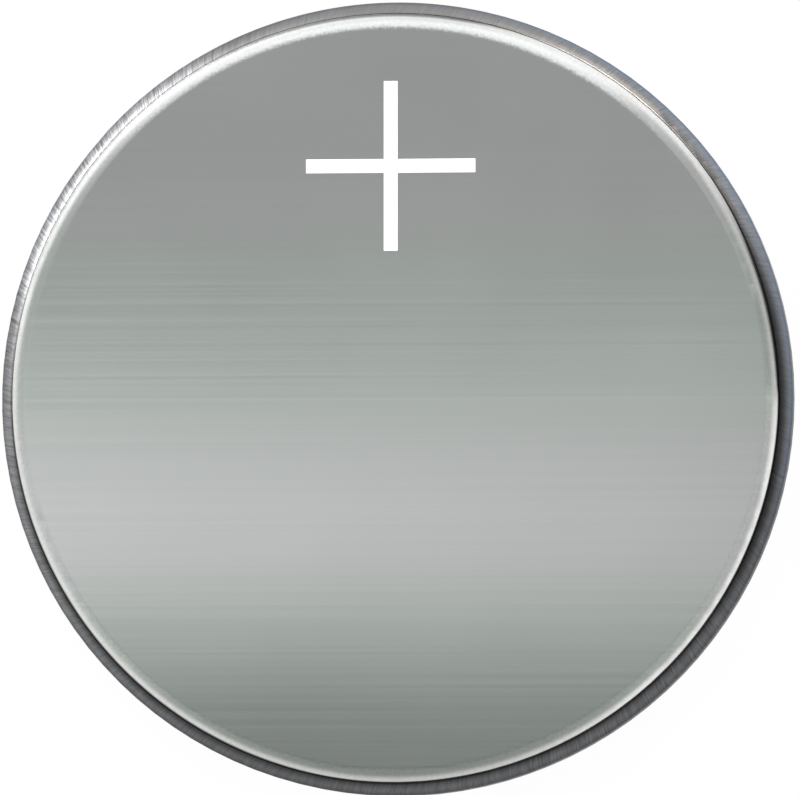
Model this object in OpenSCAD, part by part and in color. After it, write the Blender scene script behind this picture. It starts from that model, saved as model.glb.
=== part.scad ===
// Lithium coin cell lying on its negative cap, positive face up.
// The origin is the centre of the negative contact face, and +Z points out of the positive face.

/* [Cell] */
// Outside diameter of the positive can
cell_d = 23; // [20:0.5:26]
// Overall height from the negative to the positive contact face
cell_h = 2; // [1.7:0.1:2.5]

/* [Positive can] */
// Sheet thickness of the can
can_t = 0.2; // [0.16:0.01:0.24]
// Radial distance from the edge of the raised face to the outside of the can
shoulder_w = 0.38; // [0.3:0.01:0.46]
// Outside radius of the shoulder
shoulder_r = 0.7; // [0.6:0.01:0.8]
// Drop from the face to the top of the circle that the shoulder follows
shoulder_drop = 0.06; // [0.05:0.005:0.1]
// Radial width of the steep step between the raised face and the shoulder
step_w = 0.03; // [0.02:0.005:0.05]
// Radial width of the face's crowned edge
crown_w = 0.4; // [0.3:0.01:0.5]
// Radius of the face's crowned edge
crown_r = 1.5; // [1.2:0.05:1.8]
// Outside radius of the crimp
crimp_r = 0.5; // [0.45:0.01:0.6]
// Length of the flat lip past the crimp
lip_w = 0.5; // [0.4:0.01:0.6]

/* [Polarity mark] */
// Span of the plus sign, tip to tip
mark_span = 4.92; // [4:0.02:6]
// Width of its strokes
mark_stroke = 0.4; // [0.3:0.01:0.5]
// Gap between its top tip and the edge of the raised face
mark_gap = 1.96; // [1.5:0.02:2.5]
// Offset of its centre to the left
mark_shift = 0.1; // [0:0.01:0.2]
// Depth of the mark in the face
mark_depth = 0.04; // [0.03:0.005:0.06]

/* [Negative cap] */
// Sheet thickness of the cap
cap_t = 0.2; // [0.16:0.01:0.24]
// How far the cap's face stands out past the can's lip
cap_proud = 0.1; // [0.08:0.01:0.15]
// Inside radius of the cap's bends
cap_bend_r = 0.08; // [0.06:0.01:0.1]
// Radial distance from the step's wall to the outside of the skirt
ledge_w = 1.15; // [0.95:0.05:1.4]

/* [Gasket] */
// Wall between the cap's skirt and the can
gasket_wall = 0.35; // [0.28:0.01:0.42]
// Thickness between the skirt's end and the can
gasket_foot = 0.2; // [0.15:0.01:0.25]
// Thickness squeezed between the can's lip and the cap's ledge
gasket_squeeze = 0.15; // [0.12:0.01:0.2]
// Thickness of the leg inside the skirt
gasket_leg = 0.3; // [0.24:0.01:0.36]
// Height of that leg above the skirt's end
gasket_leg_h = 0.42; // [0.3:0.01:0.5]
// Width of the bead that shows inside the can's lip
gasket_bead = 0.32; // [0.25:0.01:0.4]

/* [Cell stack] */
// Radial gap between the lithium disc and the cap's inside wall
lithium_gap = 1.6; // [1.2:0.1:2]
// Thickness of the separator
separator_t = 0.15; // [0.12:0.01:0.2]
// Radial gap between the separator and the cap's skirt
separator_gap = 0.4; // [0.3:0.05:0.6]
// Radial gap between the cathode pellet and the gasket's leg
pellet_gap = 1.2; // [1:0.05:1.5]
// Thickness of the collector mesh
mesh_t = 0.1; // [0.08:0.01:0.12]
// How far the mesh stops short of the pellet's edge
mesh_inset = 0.25; // [0.15:0.01:0.35]
// Pitch of the mesh's diamonds along their long way
mesh_long = 2.6; // [2.4:0.1:3.2]
// Pitch of the mesh's diamonds along their short way
mesh_short = 1.5; // [1.4:0.1:1.8]
// Width of the mesh's strands
mesh_strand = 0.3; // [0.2:0.01:0.4]
// Width of the plain edge round the mesh
mesh_rim = 0.3; // [0.2:0.01:0.5]

/* [Hidden] */
$fn = 96;

cell_r = cell_d / 2;

// Raised face and shoulder of the can
can_in_r = cell_r - can_t;
crease_r = cell_r - shoulder_w;
flat_r = crease_r - crown_w;
face_under_z = cell_h - can_t;
crown_z = cell_h - crown_r;
crease_z = crown_z + sqrt(crown_r * crown_r - crown_w * crown_w);
shoulder_x = cell_r - shoulder_r;
shoulder_z = cell_h - shoulder_drop - shoulder_r;
shoulder_under_z = cell_h - shoulder_drop - can_t;
step_r = crease_r + step_w;
step_z = shoulder_z + sqrt(shoulder_r * shoulder_r - (step_r - shoulder_x) * (step_r - shoulder_x));

// Crimp and lip of the can
crimp_x = cell_r - crimp_r;
crimp_z = cap_proud + crimp_r;
lip_end_r = crimp_x - lip_w;
lip_in_z = cap_proud + can_t;

// Steps of the cap
cap_bend_out = cap_bend_r + cap_t;
ledge_z = lip_in_z + gasket_squeeze;
ledge_top_z = ledge_z + cap_t;
skirt_r = can_in_r - gasket_wall;
skirt_in_r = skirt_r - cap_t;
skirt_top_z = shoulder_under_z - gasket_foot;
boss_r = skirt_r - ledge_w;

// Gasket
leg_in_r = skirt_in_r - gasket_leg;
leg_low_z = skirt_top_z - gasket_leg_h;
bead_in_r = lip_end_r - gasket_bead;
bead_low_z = cap_proud + can_t / 2;
bead_r = (ledge_z - bead_low_z) / 2;

// Stack inside, from the cap up to the can
lithium_r = boss_r - cap_t - lithium_gap;
pellet_r = leg_in_r - pellet_gap;
pellet_z = ledge_top_z + separator_t;
mesh_z = face_under_z - mesh_t;
mesh_r = pellet_r - mesh_inset;

// Height of the plus sign's centre above the middle of the face
mark_y = crease_r - mark_gap - mark_span / 2;

// A rectangle in the section, given by its inner, lower, outer and upper edges
module block(r0, z0, r1, z1) {
    translate([r0, z0]) square([r1 - r0, z1 - z0]);
}

// A quarter bend of the sheet about (x, z), on the side of it that side_x and side_z give
module bend(x, z, r_in, r_out, side_x, side_z) {
    translate([x, z]) intersection() {
        difference() {
            circle(r_out);
            circle(r_in);
        }
        translate([side_x < 0 ? -r_out : 0, side_z < 0 ? -r_out : 0]) square(r_out);
    }
}

// The filled half section of the can, taken in by inset to give the room inside the sheet
module can_filled(inset) {
    block(0, crimp_z, flat_r, cell_h - inset);
    intersection() {
        translate([flat_r, crown_z]) circle(crown_r - inset);
        block(flat_r, shoulder_z, crease_r - inset, cell_h);
    }
    block(0, crimp_z, shoulder_x, cell_h - shoulder_drop - inset);
    translate([shoulder_x, shoulder_z]) circle(shoulder_r - inset);
    block(0, crimp_z, cell_r - inset, shoulder_z);
    translate([crimp_x, crimp_z]) circle(crimp_r - inset);
    block(0, cap_proud + inset, crimp_x, crimp_z);
}

// Half section of the can: a drawn cup with a raised face, its wall bent inwards at the open end
module can_section() {
    difference() {
        union() {
            can_filled(0);
            polygon([[flat_r, shoulder_z], [step_r, shoulder_z], [step_r, step_z],
                [crease_r, crease_z], [flat_r, crease_z]]);
        }
        can_filled(can_t);
        block(0, 0, lip_end_r, ledge_z);
    }
}

// Half section of the cap: contact face, step, ledge and skirt in one sheet
module cap_section() {
    block(0, 0, boss_r - cap_bend_out, cap_t);
    bend(boss_r - cap_bend_out, cap_bend_out, cap_bend_r, cap_bend_out, 1, -1);
    block(boss_r - cap_t, cap_bend_out, boss_r, ledge_z - cap_bend_r);
    bend(boss_r + cap_bend_r, ledge_z - cap_bend_r, cap_bend_r, cap_bend_out, -1, 1);
    block(boss_r + cap_bend_r, ledge_z, skirt_r - cap_bend_out, ledge_top_z);
    bend(skirt_r - cap_bend_out, ledge_z + cap_bend_out, cap_bend_r, cap_bend_out, 1, -1);
    block(skirt_in_r, ledge_z + cap_bend_out, skirt_r, skirt_top_z);
}

// Half section of the gasket: it fills the room between the two sheets, so it takes their shapes
module gasket_section() {
    difference() {
        union() {
            intersection() {
                can_filled(can_t);
                union() {
                    block(lip_end_r, lip_in_z, cell_r, ledge_z + cap_t / 2);
                    block(skirt_r - cap_t / 2, lip_in_z, cell_r, cell_h);
                    block(leg_in_r, leg_low_z, skirt_r, cell_h);
                }
            }
            block(bead_in_r + bead_r, bead_low_z, lip_end_r, ledge_z);
            translate([bead_in_r + bead_r, bead_low_z + bead_r]) circle(bead_r);
        }
        cap_section();
    }
}

// The plus sign's outline
module plus_outline() {
    translate([-mark_shift, mark_y]) {
        square([mark_span, mark_stroke], center = true);
        square([mark_stroke, mark_span], center = true);
    }
}

// The mesh's outline: a disc with staggered diamonds that leave strands between them
module mesh_outline() {
    columns = ceil(mesh_r / mesh_long);
    rows = ceil(mesh_r / mesh_short);
    half_long = mesh_long / 2 - mesh_strand;
    half_short = half_long * mesh_short / mesh_long;
    difference() {
        circle(mesh_r);
        for (row = [-2 * rows:2 * rows], column = [-columns:columns]) {
            x = (column + (row % 2 == 0 ? 0 : 1 / 2)) * mesh_long;
            y = row * mesh_short / 2;
            if (norm([abs(x) + half_long, y]) < mesh_r - mesh_rim
                && norm([x, abs(y) + half_short]) < mesh_r - mesh_rim) {
                translate([x, y]) {
                    polygon([[half_long, 0], [0, half_short], [-half_long, 0], [0, -half_short]]);
                }
            }
        }
    }
}

module positive_can() {
    color([0.66, 0.67, 0.66]) difference() {
        rotate_extrude() can_section();
        translate([0, 0, cell_h - mark_depth]) linear_extrude(can_t) plus_outline();
    }
}

module plus_mark() {
    color([0.98, 0.98, 0.97]) translate([0, 0, cell_h - mark_depth]) {
        linear_extrude(mark_depth) plus_outline();
    }
}

module collector_mesh() {
    color([0.6, 0.6, 0.6]) translate([0, 0, mesh_z]) linear_extrude(mesh_t) mesh_outline();
}

module cathode_pellet() {
    color([0.08, 0.08, 0.09]) translate([0, 0, pellet_z]) cylinder(h = mesh_z - pellet_z, r = pellet_r);
}

module separator() {
    color([0.93, 0.93, 0.9]) translate([0, 0, ledge_top_z]) {
        cylinder(h = separator_t, r = skirt_in_r - separator_gap);
    }
}

module lithium_disc() {
    color([0.72, 0.72, 0.74]) translate([0, 0, cap_t]) cylinder(h = ledge_top_z - cap_t, r = lithium_r);
}

module gasket() {
    color([0.86, 0.87, 0.85]) rotate_extrude() gasket_section();
}

module negative_cap() {
    color([0.7, 0.7, 0.69]) rotate_extrude() cap_section();
}

positive_can();
plus_mark();
collector_mesh();
cathode_pellet();
separator();
lithium_disc();
gasket();
negative_cap();
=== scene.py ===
"""Looks for the lithium coin cell: materials, a pale floor, studio light and the photo's camera."""

import math
from types import SimpleNamespace

import bpy
from mathutils import Matrix, Vector

MM = 0.001

# The photo's frame, and where the cell's centre lies in it, in pixels
FRAME_W = 800
FRAME_H = 795
CELL_X = 397.4
CELL_Y = 399.0
PIXELS_PER_MM = 34.523

# The camera leans this far from the cell's axis, towards this side of the face
LEAN_DEG = 6.27
LEAN_AZIMUTH_DEG = -29.6
CAMERA_DISTANCE = 400 * MM
CLIP_START = 0.01
CLIP_END = 10
SENSOR = 36.0

# The floor's side, how far it lies below the cell so that the two faces don't coincide, its grey,
# and how much of it the eye and reflections see as plain white
FLOOR_SIDE = 3.0
FLOOR_GAP = 0.01 * MM
FLOOR_COLOUR = (0.86, 0.86, 0.86, 1.0)
FLOOR_WHITE = 0.97
WHITE = (1.0, 1.0, 1.0, 1.0)

# Radii and heights, in millimetres, as in the solids
FLAT_R = 10.72
CREASE_R = 11.12
CELL_R = 11.5
FACE_Z = 2.0
CAP_R = 9.8

# What follows is in millimetres too. A ramp is given as (from, to), or with its values at both ends
# as (from, to, value, value). A curve's points are (input, output), both from 0 to 1. A noise is given
# as its scale, or one scale for each axis, then its detail and roughness. A varied value is given as its
# middle, then how far each noise moves it.

# Colours of the can. The face's tone is a painted reflection, brightest a third of the way up, and its slant
# a painted highlight, brighter to the left in the lower half. Tone, tint and slant run from its bottom edge,
# 0, to its top edge, 1, over FACE_R to each side of its middle
FACE_R = 11.0
FACE_COLOUR = (0.975, 1.0, 0.99, 1.0)
FACE_COLOUR_GREEN = (0.91, 1.0, 0.925, 1.0)
FACE_GREEN = [(0.0, 1.0), (0.2, 0.85), (0.28, 0.2), (0.44, 0.25), (0.52, 0.8), (0.67, 0.8),
              (0.75, 0.1), (1.0, 0.1)]
FACE_REFLECTION_TONE = [(0.0, 0.279), (0.08, 0.304), (0.155, 0.375), (0.235, 0.44), (0.32, 0.47), (0.43, 0.446),
             (0.6, 0.394), (0.8, 0.347), (1.0, 0.336)]
FACE_HIGHLIGHT_SLANT = [(0.0, 0.0), (0.15, 0.04), (0.3, 0.09), (0.5, 0.06), (0.65, 0.0), (1.0, 0.0)]

# The face's brush lines, how strong they are in patches and up the face, and its wider bands and clouds
BRUSH_LINES = [((0.012, 5.5, 0.0), 0.0), ((0.02, 9.5, 0.0), 0.0), ((0.03, 14.0, 0.0), 0.0)]
BRUSH_PATCHES = ((0.25, 0.9, 0.0), 2.0, 0.5)
PATCH_STRENGTH = (0.3, 0.7, 0.7, 1.1)
UPWARD_STRENGTH = (2.5, 5.0, 1.0, 0.35)
BANDS = ((0.02, 1.1, 0.0), 2.0, 0.5)
CLOUDS = (0.22, 2.0, 0.5)
BRUSH_TONE = 0.045
BAND_TONE = 0.02
CLOUD_TONE = 0.02

# The crown's painted highlight: its tone halfway up the crown and at its edge, once round the face from its
# right end by way of the top
CROWN_COLOUR = (1.0, 1.0, 0.99, 1.0)
CROWN_MID = [(0.0, 0.53), (0.085, 0.33), (0.125, 0.41), (0.19, 0.76), (0.35, 0.61), (0.425, 0.34),
             (0.5, 0.4), (0.6, 0.53), (0.68, 0.44), (0.76, 0.37), (0.93, 0.53), (1.0, 0.53)]
CROWN_EDGE = [(0.0, 0.46), (0.05, 0.42), (0.13, 0.62), (0.24, 0.52), (0.31, 0.5), (0.44, 0.66),
              (0.5, 0.56), (0.62, 0.68), (0.78, 0.57), (0.9, 0.82), (1.0, 0.46)]
CROWN_FROM = 10.69
CROWN_MIDDLE = 10.86
CROWN_RISE = 10.92
CROWN_END = 11.06

# Grit on the crown's painted highlight: its tone, and how far it frays the highlight's inner edge, which
# lies further in on one side
GRIT = (11.0, 2.0, 0.7)
GRIT_TONE = (1.0, 0.35)
GRIT_FRAY = 0.16
WIDE_CROWN = (0.75, 0.97, 0.0, 0.045)

# Where the crown ends. Both its painted highlight and the painted shade in its seam move in by the inset,
# and its edge by a share of it
CROWN_INSET = [(0.0, 0.2), (0.04, 0.85), (0.083, 0.8), (0.125, 0.2), (0.17, 0.2), (0.21, 0.55),
               (0.25, 0.8), (0.3, 0.8), (0.38, 0.65), (0.43, 0.52), (0.5, 0.0), (0.583, 0.33),
               (0.667, 0.38), (0.75, 0.0), (0.94, 0.07), (1.0, 0.2)]
FULL_INSET = 0.1
EDGE_SHARE = 0.7
EDGE_FRAY = 0.26
EDGE_SHIFT = -0.045
EDGE_R = (CREASE_R + 0.03, CREASE_R - 0.02)
# The seam's painted shade, a dark line in the crease at the crown's foot: its radius, width and depth, how
# much the streaky side takes off it, and where it pales
SEAM_R = CREASE_R + 0.03
SEAM_WIDTH = (0.065, 0.015)
SEAM_DEPTH = (0.0, 1.0, 0.5, 0.1)
SEAM_STREAK = 0.6
PALE_SEAM = (0.85, 0.97)

# Colours of the shoulder, wall and lip. The wall's darker colour is a painted dark reflection, and its blue
# a painted blue reflection
SHOULDER_COLOUR = (0.45, 0.45, 0.455)
WALL_COLOUR = (0.14, 0.142, 0.147, 1.0)
WALL_BLUE_REFLECTION = (0.155, 0.18, 0.222, 1.0)
LIP_COLOUR = (0.42, 0.42, 0.425, 1.0)

# Sides of the ring, in degrees from the face's right end by way of the top: painted light, a painted blue
# reflection, a painted highlight streak, painted shade, where the seam's painted shade pales, where the
# shoulder's painted light dims, and where the crown's painted highlight reaches further in
LIT_SIDE = 115
BLUE_SIDE = 30
HIGHLIGHT_STREAK_SIDE = 142
SHADE_SIDE = 355
PALE_SEAM_SIDE = 50
PALE_SHOULDER_SIDE = 65
WIDE_CROWN_SIDE = 76

# How tone and colour change with the side, by how nearly a point faces it, with the radius and the height.
# They paint light on the lit side and along the highlight streak, shade on the shaded side, a blue
# reflection, and a dark reflection on the wall
UPPER_Z = (1.6, 1.8)
WALL_R = (CREASE_R, CELL_R - 0.12)
WALL_LIT = (-0.8, 0.3, 1.0, 2.0)
WALL_STREAK = (0.88, 0.97, 1.0, 1.5)
WALL_DOWN = (1.4, 1.0, 1.0, 2.0)
SHOULDER_LIT = (0.0, 0.6, 0.22, 1.0)
SHOULDER_STREAK = (0.88, 0.97, 0.6, 1.0)
SHOULDER_PALE = (0.7, 0.97, 1.0, 0.65)
BLUE_SPREAD = (0.6, 0.85)
BLUE_R = (CELL_R - 0.16, CELL_R - 0.04)
BLUE_Z = (1.15, 1.35)
SHADE_SPREAD = (0.82, 0.98)
SHADE_R = (CREASE_R + 0.34, CREASE_R + 0.12, 0.0, 0.6)
LIP_Z = (0.7, 0.2)

# The ring's drawn lines and flecks: their slant and run, their strength and how much the streaky side adds
# to it, and how strongly they show once round
DRAWN = (230.0, 3.0, 0.7)
FLECKS = (70.0, 3.0, 0.6)
LINE_SLANT = 0.035
LINE_RUN = 0.006
FLECK_RUN = 0.03
DRAWN_STRENGTH = 2.5
DRAWN_STREAK = 0.6
FLECK_STRENGTH = 0.65
FLECK_STREAK = 0.3
DRAWN_BUMP = 0.004
STREAK_SPREAD = (0.75, 0.95)
SCRATCHED = [(0.0, 0.42), (0.1, 0.46), (0.2, 0.3), (0.29, 0.3), (0.36, 0.96), (0.45, 0.96), (0.55, 0.7),
             (0.75, 0.62), (0.87, 0.77), (0.95, 0.54), (1.0, 0.42)]

# Roughness of the can
TOP_ROUGH = (FLAT_R, CREASE_R, 0.31, 0.29)
BRUSH_ROUGH = 0.03
CLOUD_ROUGH = 0.03
SIDE_ROUGH = (0.46, 0.2)
CAN_SPECULAR_TINT = (0.4, 0.4, 0.41, 1.0)

# The cap's fine and middling brush lines and clouds, its tone, which falls off outwards, and its roughness
CAP_FINE = ((22.0, 0.4, 2.0), 3.0, 0.6)
CAP_MIDDLING = ((5.0, 0.15, 1.0), 2.0, 0.5)
CAP_CLOUDS = (0.3, 2.0)
CAP_COLOUR = (1.0, 1.0, 0.985)
CAP_TONE = (0.56, 0.16, 0.12, 0.12)
CAP_OUTWARD = (6.0, CAP_R, 1.06, 0.9)
CAP_ROUGH = (0.37, 0.1, 0.06)
CAP_BEND_ROUGH = (CAP_R - 0.45, CAP_R - 0.25, 0.0, 0.2)
CAP_BUMP = 0.0015

# The separator's felt of crossed fibres
FELT = [((3.0, 11.0, 3.0), 4.0, 0.7), ((11.0, 3.0, 3.0), 4.0, 0.7)]
FELT_COLOUR = (1.0, 1.0, 0.98)
FELT_TONE = (0.8, 0.2)
FELT_ROUGH = (0.825, 0.15)
FELT_BUMP = 0.02

# The other pieces. The first noise is the grain, which makes the bumps as well
PLAIN_LOOKS = {
    "plus_mark": dict(name="white_ink_look", hue=(1.0, 1.0, 0.99), tone=(0.93, 0.05, 0.03),
                      roughness=(0.55, 0.2), bump=0.003, noises=[(22.0, 3.0, 0.6), (1.3, 2.0)]),
    "gasket": dict(name="gasket_plastic_look", hue=(1.0, 1.0, 0.97), tone=(0.74, 0.03, 0.08),
                   roughness=(0.42, 0.16), bump=0.004, noises=[(9.0, 3.0, 0.6), (0.8, 2.0)],
                   Subsurface_Weight=0.3, Subsurface_Scale=0.4 * MM),
    "collector_mesh": dict(name="mesh_steel_look", hue=(1.0, 1.0, 1.0), tone=(0.52, 0.16),
                           roughness=(0.4, 0.2), bump=0.006, noises=[(6.0, 3.0, 0.6)], Metallic=1.0),
    "cathode_pellet": dict(name="cathode_mix_look", hue=(1.0, 1.0, 1.05), tone=(0.056, 0.03, 0.012),
                           roughness=(0.8, 0.2), bump=0.03, noises=[(14.0, 4.0, 0.65), (0.9, 2.0)]),
    "lithium_disc": dict(name="lithium_look", hue=(1.0, 0.99, 1.02), tone=(0.5, 0.15, 0.15),
                         roughness=(0.5, 0.25), bump=0.01,
                         noises=[((0.6, 5.0, 1.0), 4.0, 0.6), (0.5, 3.0)], Metallic=1.0),
}

# The studio. Its ring of light is centred on the way that the flat face mirrors the photo's view. The
# light depends on the angle from there, in degrees, and on how nearly a direction points to one side
STUDIO_AXIS = (-0.095, 0.054, 0.994)
STUDIO_SIDE = (-0.26, 0.966, 0.0)
OVERHEAD_LIGHT = 0.14
RING_LIGHT = (0.15, 0.65, 1.35, 1.55)
RING_FROM = (0.4, 0.95, 13.0, 2.0)
RING_EDGE = 18.0
LOW_FROM = (0.1, 0.8, 44.0, 60.0)
LOW_EDGE = 12.0
LOW_LIGHT = (0.0, 0.6, 0.45, 1.2)
WHITE_FROM = (66.0, 80.0)

# Lamps: name, centre, the point that it faces and its size in millimetres, power in watts, and colour
LAMPS = [
    ("key", (-40, 70, 70), (0, 0, 0), (50, 40), 0.02, (1.0, 1.0, 1.0)),
    ("back_left", (-104, 60, 40), (0, 0, 1), (60, 40), 0.06, (1.0, 1.0, 1.0)),
    ("back_right", (66, 98, 50), (0, 0, 1), (50, 40), 0.05, (1.12, 1.0, 0.88)),
    ("right", (116, 44, 9), (0, 0, 1), (60, 10), 0.006, (0.85, 0.95, 1.15)),
    ("band", (-5, -2, 27), (-5, -2, 0), (34, 8), 0.0007, (1.0, 1.0, 1.0)),
    ("top", (-3, 15, 27), (-3, 13, 0), (34, 12), 0.0004, (1.0, 1.0, 1.0)),
]

# How the nodes of a tree are laid out
NODES_IN_ROW = 12
NODE_STEP_X = 180
NODE_STEP_Y = 320

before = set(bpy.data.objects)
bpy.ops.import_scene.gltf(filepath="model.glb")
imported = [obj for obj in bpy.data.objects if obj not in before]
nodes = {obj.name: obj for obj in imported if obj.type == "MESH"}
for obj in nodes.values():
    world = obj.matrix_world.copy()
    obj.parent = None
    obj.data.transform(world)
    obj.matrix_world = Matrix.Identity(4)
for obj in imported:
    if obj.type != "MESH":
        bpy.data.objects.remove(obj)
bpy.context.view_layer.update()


class Shader:
    """Builds one node tree. Each method adds a node and returns its output socket."""

    def __init__(self, tree):
        self.tree = tree
        self.tree.nodes.clear()
        self.count = 0

    def node(self, kind, **settings):
        made = self.tree.nodes.new(kind)
        self.count += 1
        row, column = divmod(self.count, NODES_IN_ROW)
        made.location = (column * NODE_STEP_X, -row * NODE_STEP_Y)
        for key, value in settings.items():
            setattr(made, key, value)
        return made

    def put(self, socket, value):
        if isinstance(value, bpy.types.NodeSocket):
            self.tree.links.new(value, socket)
        else:
            socket.default_value = value

    def math(self, operation, a, b=None):
        made = self.node("ShaderNodeMath", operation=operation)
        self.put(made.inputs[0], a)
        if b is not None:
            self.put(made.inputs[1], b)
        return made.outputs[0]

    def add(self, a, b):
        return self.math("ADD", a, b)

    def times(self, a, b):
        return self.math("MULTIPLY", a, b)

    def rest(self, value):
        """What a value lacks of 1."""
        return self.math("SUBTRACT", 1.0, value)

    def vector(self, operation, a, b=(0, 0, 0)):
        made = self.node("ShaderNodeVectorMath", operation=operation)
        self.put(made.inputs[0], a)
        self.put(made.inputs[1], b)
        return made.outputs["Value" if operation in ("LENGTH", "DOT_PRODUCT") else "Vector"]

    def combine(self, x, y, z):
        made = self.node("ShaderNodeCombineXYZ")
        for socket, value in zip(made.inputs, (x, y, z)):
            self.put(socket, value)
        return made.outputs[0]

    def separate(self, vector):
        made = self.node("ShaderNodeSeparateXYZ")
        self.put(made.inputs[0], vector)
        return made.outputs

    def raised(self, vector, height):
        """A vector with a height added to its Z."""
        return self.vector("ADD", vector, self.combine(0.0, 0.0, height))

    def level(self, vector):
        """A vector without its Z."""
        return self.vector("MULTIPLY", vector, (1, 1, 0))

    def ramp(self, value, low, high, out_low=0.0, out_high=1.0, smooth=True):
        """Maps low..high to out_low..out_high, smoothly unless told otherwise."""
        made = self.node("ShaderNodeMapRange", interpolation_type="SMOOTHSTEP" if smooth else "LINEAR")
        for socket, given in zip(made.inputs, (value, low, high, out_low, out_high)):
            self.put(socket, given)
        return made.outputs[0]

    def mix(self, factor, a, b):
        made = self.node("ShaderNodeMix", data_type="RGBA")
        self.put(made.inputs["Factor"], factor)
        sockets = [socket for socket in made.inputs if socket.type == "RGBA"]
        for socket, value in zip(sockets, (a, b)):
            self.put(socket, value)
        return next(socket for socket in made.outputs if socket.type == "RGBA")

    def toward(self, outward, degrees):
        """How nearly an outward direction points to one side: 1 there, 0 a quarter turn away."""
        angle = math.radians(degrees)
        return self.vector("DOT_PRODUCT", outward, (math.cos(angle), math.sin(angle), 0.0))

    def tint(self, colour, value):
        """A colour multiplied by a number."""
        made = self.node("ShaderNodeVectorMath", operation="SCALE")
        self.put(made.inputs[0], colour)
        self.put(made.inputs["Scale"], value)
        return made.outputs["Vector"]

    def noise(self, vector, scale, detail=2.0, roughness=0.5):
        """A noise from 0 to 1. Its scale is a number, or one for each axis."""
        by_axis = isinstance(scale, tuple)
        made = self.node("ShaderNodeTexNoise")
        self.put(made.inputs["Vector"], self.vector("MULTIPLY", vector, scale) if by_axis else vector)
        self.put(made.inputs["Scale"], 1.0 if by_axis else scale)
        self.put(made.inputs["Detail"], detail)
        self.put(made.inputs["Roughness"], roughness)
        return made.outputs["Fac"]

    def signed(self, noise, amount):
        """A noise centred on 0 and scaled."""
        return self.times(self.add(noise, -0.5), amount)

    def varied(self, amounts, *noises):
        """A middle value, the first amount, that each noise moves up and down by its own amount."""
        value, *moves = amounts
        for noise, move in zip(noises, moves):
            value = self.add(value, self.signed(noise, move))
        return value

    def curve(self, value, points):
        """A smooth line through points of (input from 0 to 1, output)."""
        made = self.node("ShaderNodeFloatCurve")
        line = made.mapping.curves[0]
        while len(line.points) < len(points):
            line.points.new(0.5, 0.5)
        for point, (x, y) in zip(line.points, points):
            point.location = (x, y)
        made.mapping.update()
        self.put(made.inputs["Value"], value)
        return made.outputs[0]

    def millimetres(self):
        """The point in the part's own frame, in millimetres."""
        coords = self.node("ShaderNodeTexCoord")
        return self.vector("MULTIPLY", coords.outputs["Object"], (1 / MM, 1 / MM, 1 / MM))

    def bump(self, height, distance):
        made = self.node("ShaderNodeBump")
        made.inputs["Strength"].default_value = 1.0
        made.inputs["Distance"].default_value = distance * MM
        self.put(made.inputs["Height"], height)
        return made.outputs[0]

    def blend(self, factor, first, second):
        """One shader where the factor is 0 and the other where it is 1."""
        made = self.node("ShaderNodeMixShader")
        for socket, value in zip(made.inputs, (factor, first, second)):
            self.put(socket, value)
        return made.outputs[0]

    def shade(self, kind, colour):
        """A shader of one colour."""
        made = self.node(kind)
        self.put(made.inputs["Color"], colour)
        return made.outputs[0]

    def finish(self, shader, kind="ShaderNodeOutputMaterial"):
        """Links the tree's last shader to its output."""
        self.put(self.node(kind).inputs["Surface"], shader)

    def principled(self, colour, roughness, normal, tangent=None, **constants):
        """The tree's last shader. The constants are set on its own sockets."""
        made = self.node("ShaderNodeBsdfPrincipled")
        self.put(made.inputs["Base Color"], colour)
        self.put(made.inputs["Roughness"], roughness)
        self.put(made.inputs["Normal"], normal)
        if tangent is not None:
            self.put(made.inputs["Tangent"], tangent)
        for name, value in constants.items():
            made.inputs[name.replace("_", " ")].default_value = value
        self.finish(made.outputs[0])


def new_material(name):
    """A material with an empty node tree, and the tree's builder."""
    material = bpy.data.materials.new(name)
    material.use_nodes = True
    return material, Shader(material.node_tree)


def dress(node_name, material):
    """Puts a material on every slot of a CAD node."""
    slots = nodes[node_name].material_slots
    for slot in slots:
        slot.material = material
    if not slots:
        nodes[node_name].data.materials.append(material)


def place_on_can(s):
    """Where a point of the can lies: coordinates, radius, direction outward, and share of a turn."""
    place = s.millimetres()
    x, y, z = s.separate(place)
    level = s.level(place)
    turn = s.math("DIVIDE", s.math("ARCTAN2", y, x), 2 * math.pi)
    return SimpleNamespace(place=place, x=x, y=y, z=z, radius=s.vector("LENGTH", level),
                           outward=s.vector("NORMALIZE", level), upper=s.ramp(z, *UPPER_Z),
                           turn=s.math("FRACT", s.add(turn, 1.0)))


def brush_lines(s, at):
    """Long straight brush lines along X, fainter near the top of the face."""
    lines = 0.0
    for line in BRUSH_LINES:
        lines = s.add(lines, s.signed(s.noise(at.place, *line), 1.0))
    patches = s.noise(at.place, *BRUSH_PATCHES)
    strength = s.times(s.ramp(patches, *PATCH_STRENGTH), s.ramp(at.y, *UPWARD_STRENGTH))
    return s.times(lines, strength)


def face_look(s, at, brushed, clouds):
    """The face's tint, from its bottom to its top edge, and its colour, with a painted reflection in its
    tone and a painted highlight in its slant.
    """
    height = s.ramp(at.y, -FACE_R, FACE_R, smooth=False)
    tint = s.mix(s.curve(height, FACE_GREEN), FACE_COLOUR, FACE_COLOUR_GREEN)
    slant = s.times(s.curve(height, FACE_HIGHLIGHT_SLANT), s.times(at.x, -1 / FACE_R))
    tone = s.times(s.curve(height, FACE_REFLECTION_TONE), s.add(1.0, slant))
    bands = s.noise(at.place, *BANDS)
    shades = s.add(s.times(brushed, BRUSH_TONE),
                   s.add(s.signed(bands, BAND_TONE), s.signed(clouds, CLOUD_TONE)))
    return tint, s.tint(tint, s.times(tone, s.add(1.0, shades)))


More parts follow.
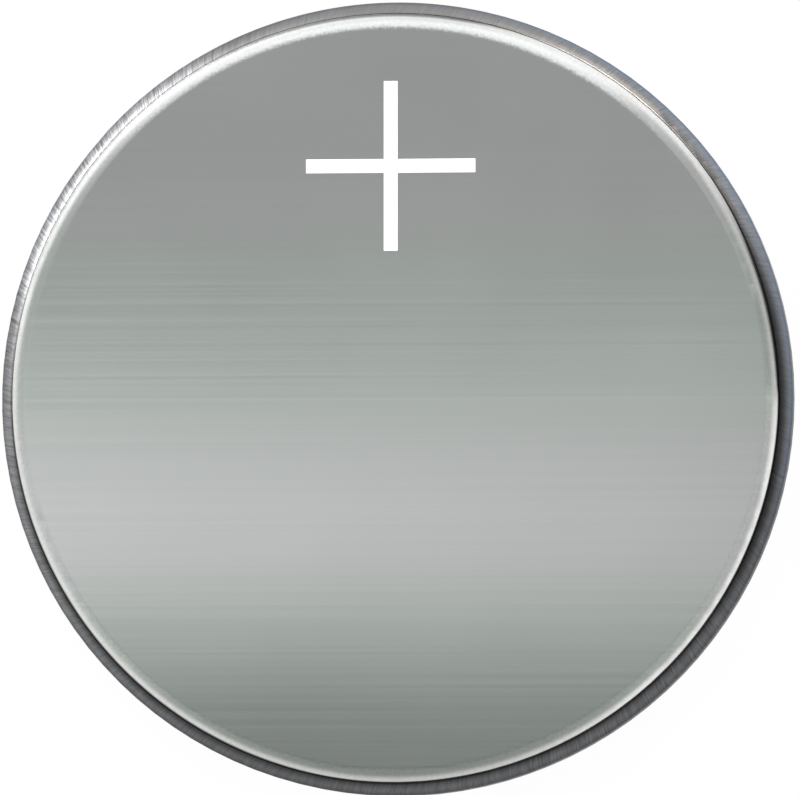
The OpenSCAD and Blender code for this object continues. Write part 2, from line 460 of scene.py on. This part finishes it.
def ring_lines(s, at):
    """Fine drawn lines and flecks across the shoulder and down the wall, stronger where it is streaky."""
    across, up, _ = s.separate(at.outward)
    forward = s.combine(s.times(up, -1.0), across, 0.0)
    slant = s.times(s.add(at.radius, -CREASE_R), LINE_SLANT)
    swept = s.vector("ADD", at.outward, s.tint(forward, slant))
    around = s.raised(swept, s.times(at.z, LINE_RUN))
    drawn = s.noise(around, *DRAWN)
    flecks = s.noise(s.raised(around, s.times(at.radius, FLECK_RUN)), *FLECKS)
    streaky = s.ramp(s.toward(at.outward, HIGHLIGHT_STREAK_SIDE), *STREAK_SPREAD)
    marks = s.add(s.signed(drawn, s.add(DRAWN_STRENGTH, s.times(streaky, DRAWN_STREAK))),
                  s.signed(flecks, s.add(FLECK_STRENGTH, s.times(streaky, FLECK_STREAK))))
    scratch = s.add(1.0, s.times(s.curve(at.turn, SCRATCHED), marks))
    return SimpleNamespace(forward=forward, drawn=drawn, streaky=streaky, scratch=scratch)


def crown_end(s, at, lines):
    """Where the crown ends: its inset, the side where the seam's painted shade is pale, and how far a point
    lies on the crown or the face.

    The end is a little further in on some sides, further out on the pale side, and frayed where the
    ring is streaky.
    """
    inset = s.times(s.curve(at.turn, CROWN_INSET), FULL_INSET)
    pale = s.ramp(s.toward(at.outward, PALE_SEAM_SIDE), *PALE_SEAM)
    moved = s.add(at.radius, s.times(inset, EDGE_SHARE))
    frayed = s.add(moved, s.times(lines.streaky, s.signed(lines.drawn, EDGE_FRAY)))
    frayed = s.add(frayed, s.times(pale, EDGE_SHIFT))
    return inset, pale, s.times(s.ramp(frayed, *EDGE_R), at.upper)


def crown_highlight(s, at, inset, tint, grit):
    """The crown's painted highlight: the face's tint at first, then plain and bright, with a little grit."""
    middle = s.curve(at.turn, CROWN_MID)
    edge = s.curve(at.turn, CROWN_EDGE)
    tone = s.ramp(s.add(at.radius, inset), CROWN_RISE, CROWN_END, middle, edge)
    hue = s.mix(s.ramp(at.radius, CROWN_MIDDLE, CROWN_END), tint, CROWN_COLOUR)
    return s.tint(hue, s.times(tone, s.varied(GRIT_TONE, grit)))


def side_look(s, at, lines):
    """Shoulder, wall and lip: painted light to the upper left and along a painted highlight streak, a
    painted blue reflection at the right, painted shade at the right by the seam, a wall darkened as a
    painted dark reflection, and lighter down the wall.
    """
    lit_side = s.toward(at.outward, LIT_SIDE)
    streak_side = s.toward(at.outward, HIGHLIGHT_STREAK_SIDE)
    # A painted blue reflection on the rim's right
    blue = s.times(s.ramp(s.toward(at.outward, BLUE_SIDE), *BLUE_SPREAD), s.ramp(at.radius, *BLUE_R))
    blue = s.times(blue, s.ramp(at.z, *BLUE_Z))
    # Painted light on the wall, to the upper left and along the highlight streak
    lit = s.times(s.ramp(lit_side, *WALL_LIT), s.ramp(streak_side, *WALL_STREAK))
    wall = s.tint(s.mix(blue, WALL_COLOUR, WALL_BLUE_REFLECTION), s.times(lit, s.ramp(at.z, *WALL_DOWN)))

    # Painted light on the shoulder, to the upper left and along the highlight streak, dimmed on one side
    bright = s.times(s.ramp(lit_side, *SHOULDER_LIT), s.ramp(streak_side, *SHOULDER_STREAK))
    bright = s.times(bright, s.ramp(s.toward(at.outward, PALE_SHOULDER_SIDE), *SHOULDER_PALE))
    shoulder = s.tint(SHOULDER_COLOUR, bright)
    # The wall's darker colour is a painted dark reflection
    side = s.mix(s.ramp(at.radius, *WALL_R), shoulder, wall)

    # Painted shade on the shoulder at the right, just outside the seam
    shade = s.times(s.ramp(s.toward(at.outward, SHADE_SIDE), *SHADE_SPREAD), s.ramp(at.radius, *SHADE_R))
    side = s.tint(side, s.rest(shade))
    return s.tint(s.mix(s.ramp(at.z, *LIP_Z), side, LIP_COLOUR), lines.scratch)


def seam_shade(s, at, inset, pale, lines):
    """How dark the painted shade in the seam at the foot of the crown is. It is paler at the upper right and
    where streaky.
    """
    gap = s.math("ABSOLUTE", s.math("SUBTRACT", s.add(at.radius, inset), SEAM_R))
    depth = s.times(s.ramp(pale, *SEAM_DEPTH), s.rest(s.times(lines.streaky, SEAM_STREAK)))
    return s.times(s.ramp(gap, *SEAM_WIDTH, 0.0, depth), at.upper)


def can_material():
    """Brushed face with a painted reflection, a crown with a painted highlight and a seam of painted shade,
    and a duller shoulder and wall with painted light, shade and reflections and fine drawn lines.
    """
    material, s = new_material("can_steel_look")
    at = place_on_can(s)
    grit = s.noise(at.place, *GRIT)
    clouds = s.noise(at.place, *CLOUDS)
    brushed = brush_lines(s, at)
    lines = ring_lines(s, at)
    inset, pale, on_top = crown_end(s, at, lines)
    on_side = s.rest(on_top)

    tint, face = face_look(s, at, brushed, clouds)
    crown = crown_highlight(s, at, inset, tint, grit)
    side = side_look(s, at, lines)
    # Where the face's colour gives way to the crown's painted highlight, frayed by grit and further in on
    # one side
    ragged = s.add(at.radius, s.signed(grit, GRIT_FRAY))
    ragged = s.add(ragged, s.ramp(s.toward(at.outward, WIDE_CROWN_SIDE), *WIDE_CROWN))
    on_flat = s.times(s.ramp(ragged, CROWN_MIDDLE, CROWN_FROM), at.upper)
    colour = s.mix(on_flat, s.mix(on_top, side, crown), face)
    # Painted shade in the seam at the crown's foot
    colour = s.tint(colour, s.rest(seam_shade(s, at, inset, pale, lines)))

    top_rough = s.add(s.ramp(at.radius, *TOP_ROUGH),
                      s.add(s.times(brushed, BRUSH_ROUGH), s.signed(clouds, CLOUD_ROUGH)))
    side_rough = s.varied(SIDE_ROUGH, lines.drawn)
    roughness = s.add(s.times(on_top, top_rough), s.times(on_side, side_rough))
    bump = s.bump(s.times(s.signed(lines.drawn, 1.0), on_side), DRAWN_BUMP)
    tangent = s.mix(on_top, lines.forward, (0.0, 1.0, 0.0, 1.0))
    s.principled(colour, roughness, bump, tangent, Metallic=1.0, Anisotropic=0.6,
                 Specular_Tint=CAN_SPECULAR_TINT)
    return material


def cap_material():
    """Steel brushed along X, a little darker outwards. The bend round the contact face is duller."""
    material, s = new_material("cap_steel_look")
    place = s.millimetres()
    fine = s.noise(place, *CAP_FINE)
    middling = s.noise(place, *CAP_MIDDLING)
    clouds = s.noise(place, *CAP_CLOUDS)
    radius = s.vector("LENGTH", s.level(place))
    tone = s.times(s.varied(CAP_TONE, fine, middling, clouds), s.ramp(radius, *CAP_OUTWARD))
    roughness = s.add(s.varied(CAP_ROUGH, fine, clouds), s.ramp(radius, *CAP_BEND_ROUGH))
    s.principled(s.tint(CAP_COLOUR, tone), roughness, s.bump(fine, CAP_BUMP), s.combine(1.0, 0.0, 0.0),
                 Metallic=1.0, Anisotropic=0.5)
    return material


def separator_material():
    """A felt of crossed fibres."""
    material, s = new_material("nonwoven_look")
    place = s.millimetres()
    fibres, crossed = (s.noise(place, *noise) for noise in FELT)
    felt = s.times(s.add(fibres, crossed), 0.5)
    colour = s.tint(FELT_COLOUR, s.varied(FELT_TONE, felt))
    s.principled(colour, s.varied(FELT_ROUGH, felt), s.bump(felt, FELT_BUMP), Sheen_Weight=0.2)
    return material


def plain_material(name, hue, tone, roughness, bump, noises, **constants):
    """A material whose tone varies with its noises, and its roughness and bumps with the first one."""
    material, s = new_material(name)
    place = s.millimetres()
    made = [s.noise(place, *noise) for noise in noises]
    grain = made[0]
    colour = s.tint(hue, s.varied(tone, *made))
    s.principled(colour, s.varied(roughness, grain), s.bump(grain, bump), **constants)
    return material


def make_floor():
    """A pale floor, seen as white by the eye and by reflections but for part of the cell's shadow.

    From underneath it isn't there, so the cell's negative side can be looked at.
    """
    half = FLOOR_SIDE / 2
    corners = [(-half, -half, 0), (half, -half, 0), (half, half, 0), (-half, half, 0)]
    data = bpy.data.meshes.new("floor")
    data.from_pydata(corners, [], [(0, 1, 2, 3)])
    floor = bpy.data.objects.new("floor", data)
    floor.location.z = -FLOOR_GAP
    bpy.context.scene.collection.objects.link(floor)
    material, s = new_material("floor_look")
    path = s.node("ShaderNodeLightPath")
    seen = s.math("MAXIMUM", path.outputs["Is Camera Ray"], path.outputs["Is Glossy Ray"])
    seen = s.math("MAXIMUM", seen, path.outputs["Is Transmission Ray"])
    grey = s.shade("ShaderNodeBsdfDiffuse", FLOOR_COLOUR)
    glow = s.shade("ShaderNodeEmission", WHITE)
    above = s.blend(s.times(seen, FLOOR_WHITE), grey, glow)
    side = s.node("ShaderNodeNewGeometry")
    clear = s.shade("ShaderNodeBsdfTransparent", WHITE)
    s.finish(s.blend(side.outputs["Backfacing"], above, clear))
    data.materials.append(material)


def make_world():
    """The studio: a ring of soft light round the zenith, brighter to the upper left, dark low in front."""
    world = bpy.data.worlds.new("studio")
    bpy.context.scene.world = world
    world.use_nodes = True
    s = Shader(world.node_tree)
    direction = s.node("ShaderNodeTexCoord").outputs["Generated"]
    fall = s.times(s.math("ARCCOSINE", s.vector("DOT_PRODUCT", direction, STUDIO_AXIS)), 180 / math.pi)
    side = s.vector("DOT_PRODUCT", s.vector("NORMALIZE", s.level(direction)), STUDIO_SIDE)
    ring_from = s.ramp(side, *RING_FROM)
    ring_full = s.add(ring_from, RING_EDGE)
    high = s.ramp(fall, ring_from, ring_full, OVERHEAD_LIGHT, s.ramp(side, *RING_LIGHT))
    low = s.ramp(side, *LOW_LIGHT)
    low = s.add(low, s.times(s.ramp(fall, *WHITE_FROM), s.rest(low)))
    low_from = s.ramp(side, *LOW_FROM)
    level = s.ramp(fall, low_from, s.add(low_from, LOW_EDGE), high, low)
    light = s.shade("ShaderNodeBackground", s.combine(level, level, level))
    s.finish(light, "ShaderNodeOutputWorld")


def make_lamp(name, centre_mm, aim_mm, size_mm, power, colour):
    """A rectangular lamp, at centre and facing aim, that isn't seen itself."""
    data = bpy.data.lights.new(name, "AREA")
    data.shape = "RECTANGLE"
    data.size, data.size_y = (side * MM for side in size_mm)
    data.energy = power
    data.color = colour
    lamp = bpy.data.objects.new(name, data)
    centre = Vector(centre_mm) * MM
    lamp.location = centre
    lamp.rotation_euler = (Vector(aim_mm) * MM - centre).to_track_quat("-Z", "Y").to_euler()
    lamp.visible_camera = False
    bpy.context.scene.collection.objects.link(lamp)


def make_camera():
    """The photo's view: leaning a little to the lower right of the face, with the plus sign upright."""
    lean = math.radians(LEAN_DEG)
    azimuth = math.radians(LEAN_AZIMUTH_DEG)
    back = Vector((math.sin(lean) * math.cos(azimuth), math.sin(lean) * math.sin(azimuth), math.cos(lean)))
    up = Vector((0, 1, 0)) - back * back.y
    up.normalize()
    right = up.cross(back)
    data = bpy.data.cameras.new("camera")
    data.sensor_width = SENSOR
    data.lens = PIXELS_PER_MM / MM * CAMERA_DISTANCE / FRAME_W * SENSOR
    data.clip_start = CLIP_START
    data.clip_end = CLIP_END
    camera = bpy.data.objects.new("camera", data)
    aside = right * (FRAME_W / 2 - CELL_X) + up * (CELL_Y - FRAME_H / 2)
    centre = Vector((0, 0, FACE_Z / 2 * MM)) + aside * MM / PIXELS_PER_MM
    turn = Matrix((right, up, back)).transposed().to_4x4()
    camera.matrix_world = Matrix.Translation(centre + back * CAMERA_DISTANCE) @ turn
    bpy.context.scene.collection.objects.link(camera)
    bpy.context.scene.camera = camera


dress("positive_can", can_material())
dress("negative_cap", cap_material())
dress("separator", separator_material())
for node_name, look in PLAIN_LOOKS.items():
    dress(node_name, plain_material(**look))

make_floor()
make_world()
for lamp in LAMPS:
    make_lamp(*lamp)
make_camera()

bpy.context.scene.view_settings.view_transform = "Standard"
